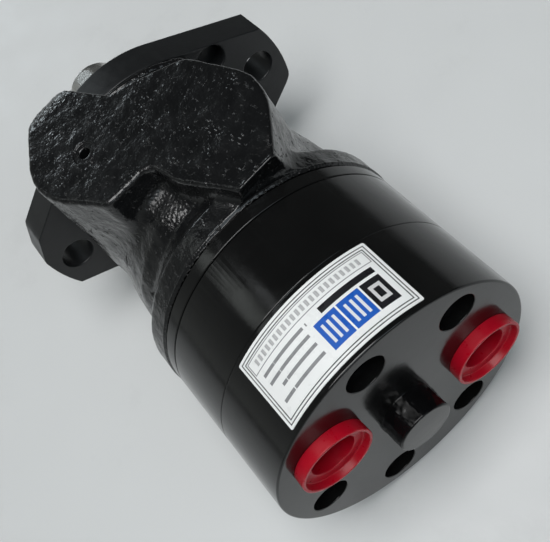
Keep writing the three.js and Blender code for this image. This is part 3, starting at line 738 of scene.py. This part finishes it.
def skinned(points, out):
    """The casting's points with lumps and pebbles raised along out, except where it is machined."""
    r = np.hypot(points[:, 1], points[:, 2])
    behind = points[:, 0] < HOUSING_REAR + 1.1
    inside = (r < 39.5) & (points[:, 2] < 40)
    at_drain = np.hypot(points[:, 0] - DRAIN[0], points[:, 1] - DRAIN[1]) < DRAIN_SPOT + 0.3
    from_boss = np.linalg.norm(points - BOSS_TOP, axis=1)
    on_end = np.clip((points[:, 0] + 13) / 5, 0, 1) * (points[:, 2] > 50)
    on_bead = np.clip((points[:, 0] + 19) / 2, 0, 1) * (points[:, 2] < 49) * (r > 41.5)
    coarse = np.clip(np.exp(-(from_boss / 9) ** 2) + on_end + on_bead, 0, 1)
    lumps = np.array([0.2 * cast_noise(p, 7.0) + 0.14 * cast_noise(p, 3.1) for p in points])
    pebbles = np.array([cast_noise(p, 1.9) for p in points])
    raised = np.where(behind | inside | at_drain, 0, lumps + (0.07 + 0.22 * coarse) * pebbles - 0.12)
    points = points + out * raised[:, None]
    points[:, 2] = np.minimum(points[:, 2], PAD_HEIGHT)
    return points


def housing():
    """The casting, on a grid that is finer at its rear wall, round the drain and at the top of the pad."""
    cell = 0.72
    planes = [
        spaced([(HOUSING_REAR - 0.6, -96.2, 0.3), (-96.2, -44, cell), (-44, -32, 0.4), (-32, -0.3, cell)]),
        spaced([(-51.5, 10, cell), (10, 22, 0.4), (22, 52, cell)]),
        spaced([(-51.5, 53.8, cell), (53.8, 57, 0.35)]),
    ]
    points, quads = surface(housing_distance, planes)
    points = skinned(*settled(housing_distance, points))
    mesh = bpy.data.meshes.new("housing_casting")
    mesh.from_pydata((points * MM).tolist(), [], quads.tolist())
    made = new_object("housing_casting", mesh)
    paint(made, cast_paint())
    mesh.shade_smooth()
    settle(made, "body", ["housing"])


# ---------- front flange ----------
def flange_radius(angle):
    """The radius of the flange's edge at an angle in degrees from the +Y ear."""
    (first, first_distance), (second, second_distance) = FLANKS
    half = angle % 180

    def line(normal, distance):
        return distance / math.cos(math.radians(half - normal))

    if first < half < second:
        return first_distance + (second_distance - first_distance) * (half - first) / (second - first)
    if half >= second:
        return min(FLANGE_REACH, line(second, second_distance))
    if angle >= 180:
        return float(smooth_min(FLANGE_REACH, line(first, first_distance), EAR_ROUNDING))
    return min(FLANGE_REACH, line(first, first_distance), line(*EAR_FLAT))


def flange_outline(step=1.5):
    """The flange's edge as (y, z) points, at even angles and where a flank or a sharp corner begins."""
    (first, _), (second, distance) = FLANKS
    sharp = second + math.degrees(math.acos(distance / FLANGE_REACH))
    turns = [angle + side for angle in (first, second, sharp) for side in (0, 180)]
    return [on_circle(flange_radius(a), math.radians(a)) for a in sorted([*np.arange(0, 360, step), *turns])]


def mounting_flange(material):
    made = new_object("flange_plate", mesh_of("flange_plate", prism(flange_outline(), FLANGE_REAR, 0)))
    pilot = [(-3, 0, 0), (-3, PILOT_RADIUS, 0), (PILOT_HEIGHT, PILOT_RADIUS, 0.8), (PILOT_HEIGHT, 0, 0)]
    cut(made, lathe(rounded(pilot)), "UNION")
    round_edges(made, 0.7, 3)
    apply_modifiers(made)
    tools = [bore(FLANGE_REAR - 2, 0, HOLE_RADIUS, y, 0, 0.7) for y in (-HOLE_OFFSET, HOLE_OFFSET)]
    tools += [bore(2, FLANGE_REAR, HOLE_RADIUS, y, 0, 0.6) for y in (-HOLE_OFFSET, HOLE_OFFSET)]
    tools += [bore(*sizes, sides=FINE) for sizes in FLANGE_BORES]
    radius, _, head_radius = SCREW_SIZE
    for node in FLANGE_SCREWS:
        _, y, z = centre(node)
        tools.append(bore(-20, PILOT_HEIGHT, radius + 0.3, y, z))
        tools.append(bore(-0.5, PILOT_HEIGHT, head_radius + 0.5, y, z, 0.4))
    tools.append(bore(FLANGE_REAR + RELIEF_DEPTH, FLANGE_REAR, RELIEF_RADIUS, *RELIEF_PLACE, 0.7))
    tools.append(tube(FLANGE_REAR - 2, FLANGE_REAR + SEAL_GROOVE_DEPTH, *SEAL_GROOVE))
    for tool in tools:
        cut(made, tool)
    paint(made, material)
    smooth(made)
    settle(made, "body", ["mounting_flange"])


def cap_screw(name, node, size, out, material):
    """A socket cap screw along X whose head points along out, in the place of a CAD screw."""
    radius, head_height, head_radius = size
    low, high = span(node)
    _, y, z = centre(node)
    tip, top = (low[0], high[0]) if out > 0 else (high[0], low[0])
    seat = top - out * head_height
    edge = 0.5
    corners = [(tip, 0, 0), (tip, radius, edge), (seat, radius, 0), (seat, head_radius, 0.3),
               (top, head_radius, edge), (top, 0, 0)]
    hexagon = [on_circle(head_radius * 0.52, k * TURN / 6) for k in range(6)]
    socket = [(y + a, z + b) for a, b in hexagon]
    depth = sorted((top - out * head_height * 0.55, top + out))
    cuts = [prism(socket, *depth)]
    piece(name, lathe(rounded(corners), SMALL, y, z), material, "body", [node], cuts)


# ---------- shaft ----------
def output_shaft(material):
    corners = [(SHAFT_REAR, 0, 0), (SHAFT_REAR, SPOOL_RADIUS, 0.8)]
    for x0, x1 in SPOOL_GROOVES:
        groove = ((x0, SPOOL_RADIUS), (x0, SPOOL_LAND), (x1, SPOOL_LAND), (x1, SPOOL_RADIUS))
        corners += [(x, radius, 0.3) for x, radius in groove]
    corners += [(SPOOL_FRONT, SPOOL_RADIUS, 0.5), (SPOOL_FRONT, SHAFT_RADIUS, 0)]
    corners += [(SHAFT_TIP - 1.5, SHAFT_RADIUS, 0.4), (SHAFT_TIP, SHAFT_RADIUS - 1.5, 0.3), (SHAFT_TIP, 0, 0)]
    solid = lathe(rounded(corners))
    made = piece("shaft_and_spool", solid, material, "shaft", ["output_shaft"])
    hollow, hole = bore(*CARDAN_BORE, edge=1.0), bore(*CENTRE_HOLE, edge=1.0)
    for tool in (hollow, tube(*CARDAN_SOCKET, SMALL), hole, key_space(0.0)):
        cut(made, tool)
    smooth(made)


def key_space(grow, top=22.0):
    """A round-ended key shape, from the keyway's floor up to the height top."""
    low, high = span("shaft_key")
    half = KEY_WIDTH / 2 + grow
    ends = (low[0] + KEY_WIDTH / 2, high[0] - KEY_WIDTH / 2)
    floor = low[2] - 0.1 - grow
    outline = []
    for middle, start in ((ends[1], -math.pi / 2), (ends[0], math.pi / 2)):
        for k in range(17):
            x, y = on_circle(half, start + k * math.pi / 16)
            outline.append((middle + x, y))
    points, faces = prism(outline, floor, top)
    return [(x, y, z) for z, x, y in points], faces


def shaft_key(material):
    made = new_object("key_bar", mesh_of("key_bar", key_space(-0.12, span("shaft_key")[1][2])))
    round_edges(made, 0.35, 2)
    paint(made, material)
    smooth(made)
    settle(made, "shaft", ["shaft_key"])


# ---------- gear section and end cover ----------
def seam(face, width):
    """The open groove left round a piece's front face where it meets the next."""
    return tube(face - width, face + 1, BODY_RADIUS - SEAM_DEPTH, BODY_RADIUS + 1)


def bolt_holes(x0, x1):
    return [tube(x0, x1, 0, BOLT_HOLE, HOLE_SIDES, y, z) for y, z in station_places]


def spacer_plate(material):
    solid = ring(PLATE_REAR, HOUSING_REAR, PLATE_BORE, BODY_RADIUS, SEAM_EDGE)
    cuts = [*bolt_holes(PLATE_REAR - 2, HOUSING_REAR + 2), seam(HOUSING_REAR, 0.8)]
    piece("spacer_disc", solid, material, "body", ["spacer_plate"], cuts)


def gear_ring(material):
    solid = ring(RING_REAR, PLATE_REAR, GEAR_BORE, BODY_RADIUS, SEAM_EDGE)
    cuts = [*bolt_holes(RING_REAR - 2, PLATE_REAR + 2), seam(PLATE_REAR, 0.6)]
    made = piece("roller_ring", solid, material, "body", ["gear_ring"], cuts)
    pockets = []
    for node in ROLLERS:
        _, y, z = centre(node)
        pockets.append(tube(RING_REAR - 2, PLATE_REAR + 2, 0, POCKET_RADIUS, 48, y, z))
    cut(made, joined(pockets))
    for face, way in ((PLATE_REAR, -1), (RING_REAR, 1)):
        cut(made, tube(*sorted((face - way, face + way * O_RING_DEPTH)), *O_RING_TRACK))
    smooth(made)


def end_cover(material):
    corners = [(RING_REAR, 0, 0), (RING_REAR, BODY_RADIUS, SEAM_EDGE), (COVER_REAR, BODY_RADIUS, 0.7),
               (COVER_REAR, 0, 0)]
    made = piece("rear_cover", lathe(rounded(corners)), material, "body", ["end_cover"])
    seat = COVER_REAR + COUNTERBORE_DEPTH
    for node in BOLTS:
        _, y, z = centre(node)
        cut(made, bore(seat, COVER_REAR, COUNTERBORE_RADIUS, y, z, 0.35))
        cut(made, tube(seat - 1, RING_REAR + 2, 0, BOLT_HOLE, HOLE_SIDES, y, z))
    for node in PLUGS:
        _, y, z = centre(node)
        cut(made, bore(COVER_REAR + PORT_DEPTH, COVER_REAR, PORT_RADIUS, y, z, 0.6))
    smooth(made)


def cover_stub(side_material, face_material):
    """The turned stub in the middle of the end face, with paint run thick down its side."""
    rings, sides = 26, 120
    outline = [(COVER_REAR + 0.5, 0), (COVER_REAR + 0.5, STUB_RADIUS + 0.4)]
    for k in range(rings + 1):
        outline.append((COVER_REAR - STUB_HEIGHT * k / rings * 0.96, STUB_RADIUS))
    outline += [(STUB_END + 0.1, STUB_RADIUS - 0.25), (STUB_END, STUB_RADIUS - 0.6), (STUB_END, 0)]
    points, faces = lathe(outline, sides)
    moved = []
    for x, y, z in points:
        r = math.hypot(y, z)
        if r > STUB_RADIUS - 0.7 and x > STUB_END + 0.05:
            a = math.atan2(z, y)
            run = noise.noise(Vector((x / 9, *on_circle(2.6, a))))
            lump = noise.noise(Vector((x / 2.2, *on_circle(9, a))))
            near_base = min(max((x - STUB_END) / STUB_HEIGHT, 0), 1)
            grow = 1 + (0.3 * run + (0.1 + 0.3 * near_base) * max(lump, -0.1)) / STUB_RADIUS
            y, z = y * grow, z * grow
        moved.append((x, y, z))
    made = new_object("cover_stub", mesh_of("cover_stub", (moved, faces)))
    paint(made, side_material, face_material)
    for face in made.data.polygons:
        face.material_index = int(face.normal.x < -0.9)
    smooth(made, 50)
    settle(made, "body", ())


def port_plug(name, node, body, material):
    """A hollow flanged plastic plug with a thin rim, a ledge and a deeper well."""
    _, y, z = centre(node)
    deep, top = span(node)[1][0], span(node)[0][0]
    skirt, flange, wall = 9.9, 12.9, 1.05
    seat = COVER_REAR - 0.02
    ledge = COVER_REAR - 2
    corners = [
        (deep, 0, 0), (deep, skirt - 0.6, 0.8), (seat, skirt, 0.2), (seat, flange - 0.15, 0.12),
        (top, flange, 0.3), (top, flange - wall, 0.3), (ledge, flange - wall - 0.5, 0.5),
        (ledge, 7.9, 0.35), (deep - 1.5, 7.3, 0.8), (deep - 1.5, 0, 0),
    ]
    piece(name, lathe(rounded(corners), 96, y, z), material, body, [node])


# ---------- nameplate ----------
def plate_angles():
    """The directions of the nameplate's two ends from straight up, towards +Y."""
    low, high = span("nameplate")
    return math.asin(low[1] / FILM_REACH), math.asin(high[1] / FILM_REACH)


def label_film():
    """A silvered film printed with a border, a raised strip, plain blocks and rows of short bars."""
    f = Finish("label_film", roughness=0.3)
    x, y, z = f.coordinates()
    along = f.calc("MULTIPLY", f.calc("ARCTAN2", y, z), BODY_RADIUS)
    low, high = span("nameplate")
    starts, ends = plate_angles()
    u = f.calc("SUBTRACT", along, BODY_RADIUS * starts)
    v = f.calc("SUBTRACT", high[0], x)
    length, width = BODY_RADIUS * (ends - starts), high[0] - low[0]

    def block(u0, u1, v0, v1):
        """1 inside a rectangle of the label, with u along its curved edge and v across it from the front."""
        across = f.calc("COMPARE", u, (u0 + u1) / 2, (u1 - u0) / 2)
        return f.calc("MULTIPLY", across, f.calc("COMPARE", v, (v0 + v1) / 2, (v1 - v0) / 2))

    def frame_line(inset, thick):
        outer = block(inset, length - inset, inset, width - inset)
        inner = block(inset + thick, length - inset - thick, inset + thick, width - inset - thick)
        return f.calc("SUBTRACT", outer, inner)

    def layer(color, mask, ink):
        return f.mixed(mask, color, ink)

    silver = f.mixed(f.noise(7, 3), (0.76, 0.775, 0.77), (0.84, 0.85, 0.845))
    dark, blue, grey = (0.012, 0.012, 0.014), (0.014, 0.10, 0.46), (0.10, 0.10, 0.11)
    color = silver
    for inset in (0.9, 1.9):
        color = layer(color, frame_line(inset, 0.36), (0.06, 0.06, 0.065))
    strip = block(2.6, length - 2.6, 2.6, 7.2)
    strip_line = f.calc("SUBTRACT", strip, block(2.9, length - 2.9, 2.9, 6.9))
    color = layer(color, strip_line, (0.25, 0.25, 0.26))
    row_of_beads = block(5, length - 5, 3.8, 6.0)
    wave = f.calc("SINE", f.calc("MULTIPLY", u, 3.4))
    beads = f.calc("MULTIPLY", row_of_beads, f.levels(wave, -0.2, 0.3))
    color = layer(color, f.calc("MULTIPLY", beads, 0.7), (0.3, 0.3, 0.31))
    for u0, u1, v0, v1, ink in (
        (4.2, 23.5, 8.4, 10.6, dark),  # a heading bar
        (4.2, 11.0, 11.6, 21.6, dark),  # a square with a pale square in it, and a dark one in that
        (5.6, 9.6, 13.6, 19.6, (0.6, 0.6, 0.6)),
        (6.6, 8.6, 14.8, 18.4, dark),
    ):
        color = layer(color, block(u0, u1, v0, v1), ink)
    for left in (11.6, 19.9):
        color = layer(color, block(left, left + 7.7, 11.6, 21.6), blue)
        for stroke in (1.4, 3.4, 5.4):
            color = layer(color, block(left + stroke, left + stroke + 0.9, 13.2, 20.0), (0.7, 0.72, 0.75))
    broken = f.levels(f.noise(1.6, 0, stretch=(0.02, 1, 1)), 0.36, 0.40)
    for start, stop, row in ((28.6, 48, 9.6), (29.4, 48, 12.7), (30, 45, 16.0), (30, 48, 19.6)):
        line = block(start, stop, row - 0.55, row + 0.55)
        color = layer(color, f.calc("MULTIPLY", line, f.calc("MULTIPLY", broken, 0.8)), grey)
    f.color(color)
    f.roughness(f.levels(f.noise(3, 3), 0.3, 0.7, 0.24, 0.36))
    f.bump(beads, 0.25)
    f.bump(strip, 0.12)
    f.bump(f.noise(9, 2), 0.05)
    return f.material


def nameplate():
    """A thin film wrapped on the cover, with small rounded corners."""
    low, high = span("nameplate")
    inner = BODY_RADIUS + 0.05
    outer = inner + 0.18
    start, end = (angle * outer for angle in plate_angles())
    corners = [(x, s, 0.6) for x, s in ((low[0], start), (low[0], end), (high[0], end), (high[0], start))]
    flat = bmesh.new()
    outline = [flat.verts.new((x * MM, s * MM, 0)) for x, s in rounded(corners, 3)]
    flat.faces.new(outline)
    steps = 72
    for k in range(1, steps):
        s = (start + (end - start) * k / steps) * MM
        geometry = flat.verts[:] + flat.edges[:] + flat.faces[:]
        bmesh.ops.bisect_plane(flat, geom=geometry, plane_co=(0, s, 0), plane_no=(0, 1, 0))
    raised = bmesh.ops.extrude_face_region(flat, geom=flat.faces[:])
    top = {v for v in raised["geom"] if isinstance(v, bmesh.types.BMVert)}
    for v in flat.verts:
        radius = (outer if v in top else inner) * MM
        angle = v.co.y / (outer * MM)
        v.co = (v.co.x, radius * math.sin(angle), radius * math.cos(angle))
    bmesh.ops.recalc_face_normals(flat, faces=flat.faces)
    mesh = bpy.data.meshes.new("wrapped_label")
    flat.to_mesh(mesh)
    flat.free()
    made = new_object("wrapped_label", mesh)
    paint(made, label_film())
    smooth(made, 40, weighted=False)
    settle(made, "body", ["nameplate"])


# ---------- floor, light and camera ----------
def floor():
    """A plain pale floor under the motor, faintly marked."""
    lowest = cad_box[0].z
    bpy.ops.mesh.primitive_plane_add(size=6, location=(-0.06, 0, lowest - 0.0004))
    plane = bpy.context.object
    plane.name = "floor"
    f = Finish("floor_paint", roughness=0.5)
    marks = f.levels(f.noise(60, 8, 0.7), 0.56, 0.74)
    f.color(f.mixed(f.calc("MULTIPLY", marks, 0.35), (0.62, 0.635, 0.635), (0.50, 0.51, 0.51)))
    f.roughness(f.levels(f.noise(20, 5), 0.3, 0.7, 0.42, 0.6))
    f.bump(f.noise(3, 4), 0.05)
    plane.data.materials.append(f.material)


def lamp(name, at, target, size, power, color=(1, 1, 1)):
    """A rectangular light at a point, in metres, aimed at another."""
    data = bpy.data.lights.new(name, "AREA")
    data.shape = "RECTANGLE"
    data.size, data.size_y = size
    data.energy = power
    data.color = color
    made = bpy.data.objects.new(name, data)
    made.location = at
    made.rotation_euler = (Vector(target) - Vector(at)).to_track_quat("-Z", "Y").to_euler()
    bpy.context.scene.collection.objects.link(made)


def light():
    """Five lamps, and a room whose own light fades upwards and towards -Y."""
    lamp("overhead", (-0.22, 0.05, 1.3), (0.42, 0, 0), (0.9, 0.9), 16.8)
    lamp("front_window", (1.15, 0.1, 0.42), (0, 0, 0.03), (0.34, 0.3), 1.6, (0.85, 0.95, 1))
    lamp("rear_window", (-0.95, -0.25, 0.78), (-0.06, 0, 0.04), (1.0, 0.5), 2.7, (0.8, 0.92, 1))
    lamp("window", (0.62, 0.56, 0.97), (-0.12, 0, 0.05), (0.3, 0.26), 0.28, (0.94, 1, 0.97))
    lamp("far_window", (0.56, 0.3, 1.12), (-0.125, 0, 0.05), (0.16, 0.12), 0.1, (0.93, 0.98, 1))
    world = bpy.data.worlds.new("room")
    world.use_nodes = True
    nodes, links = world.node_tree.nodes, world.node_tree.links
    way = nodes.new("ShaderNodeSeparateXYZ")
    links.new(nodes.new("ShaderNodeTexCoord").outputs["Generated"], way.inputs[0])
    share = nodes.new("ShaderNodeMath")
    share.operation = "MULTIPLY"
    for socket, axis, stops in ((0, "Z", (0.05, 0.8, 1.0, 0.06)), (1, "Y", (-0.6, 0.6, 0.06, 0.32))):
        fade = nodes.new("ShaderNodeMapRange")
        links.new(way.outputs[axis], fade.inputs["Value"])
        for stop, value in zip(RANGE_SOCKETS, stops):
            fade.inputs[stop].default_value = value
        links.new(fade.outputs[0], share.inputs[socket])
    room = nodes["Background"]
    room.inputs["Color"].default_value = (0.95, 1.0, 0.97, 1)
    links.new(share.outputs[0], room.inputs["Strength"])
    bpy.context.scene.world = world
    bpy.context.scene.view_settings.view_transform = "Standard"


def camera():
    data = bpy.data.cameras.new("camera")
    data.sensor_width = 36
    data.lens = 52.98
    data.shift_x = 0.002
    data.shift_y = 0.006
    data.clip_start, data.clip_end = 0.01, 20
    made = bpy.data.objects.new("camera", data)
    place = Vector((-0.25074, -0.01117, 0.24245))
    right = Vector((-0.57985, -0.69939, -0.41788)).normalized()
    up = Vector((0.60048, -0.71353, 0.36097)).normalized()
    axes = Matrix((right, up, right.cross(up))).transposed()
    made.matrix_world = Matrix.Translation(place) @ axes.to_4x4()
    bpy.context.scene.collection.objects.link(made)
    bpy.context.scene.camera = made


# ---------- hidden pieces, which keep their CAD shape ----------
def dress_cad_nodes(rubber_material, steel_material, gear_material):
    for names, material, slot in (
        (["flange_o_ring", *BODY_O_RINGS, "dust_seal", "shaft_seal"], rubber_material, "seal_rubber"),
        (["bearing_race", "thrust_bearing", *ROLLERS], steel_material, "bearing_steel"),
        (["rotor", "drive_spacer", "cardan_shaft"], gear_material, "gear_steel"),
        (BOLT_WASHERS, steel_material, "bare_steel"),
    ):
        for name in names:
            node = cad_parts[name]
            paint(node, material)


camera()
floor()
light()
seal_material = rubber()
bearing_material = ground_steel("bearing_steel", (0.6, 0.6, 0.61), 0.12, 0.25).material
gear_material = ground_steel("gear_steel", (0.4, 0.4, 0.41), 0.25, 0.4).material
bolt_material = black_oxide()
gloss = gloss_paint()
housing()
mounting_flange(satin_paint())
spacer_plate(gloss)
gear_ring(gloss)
end_cover(gloss)
cover_stub(drip_paint(), gloss)
shaft_material = shaft_steel()
output_shaft(shaft_material)
shaft_key(shaft_material)
plastic = red_plastic()
for plug_node in PLUGS:
    port_plug(plug_node + "_cap", plug_node, plug_node.replace("port_", ""), plastic)
nameplate()
for number, screw_node in enumerate(FLANGE_SCREWS, 1):
    cap_screw(f"cap_screw_{number}", screw_node, SCREW_SIZE, 1, bolt_material)
for number, bolt_node in enumerate(BOLTS, 1):
    cap_screw(f"long_bolt_{number}", bolt_node, BOLT_SIZE, -1, bolt_material)
dress_cad_nodes(seal_material, bearing_material, gear_material)
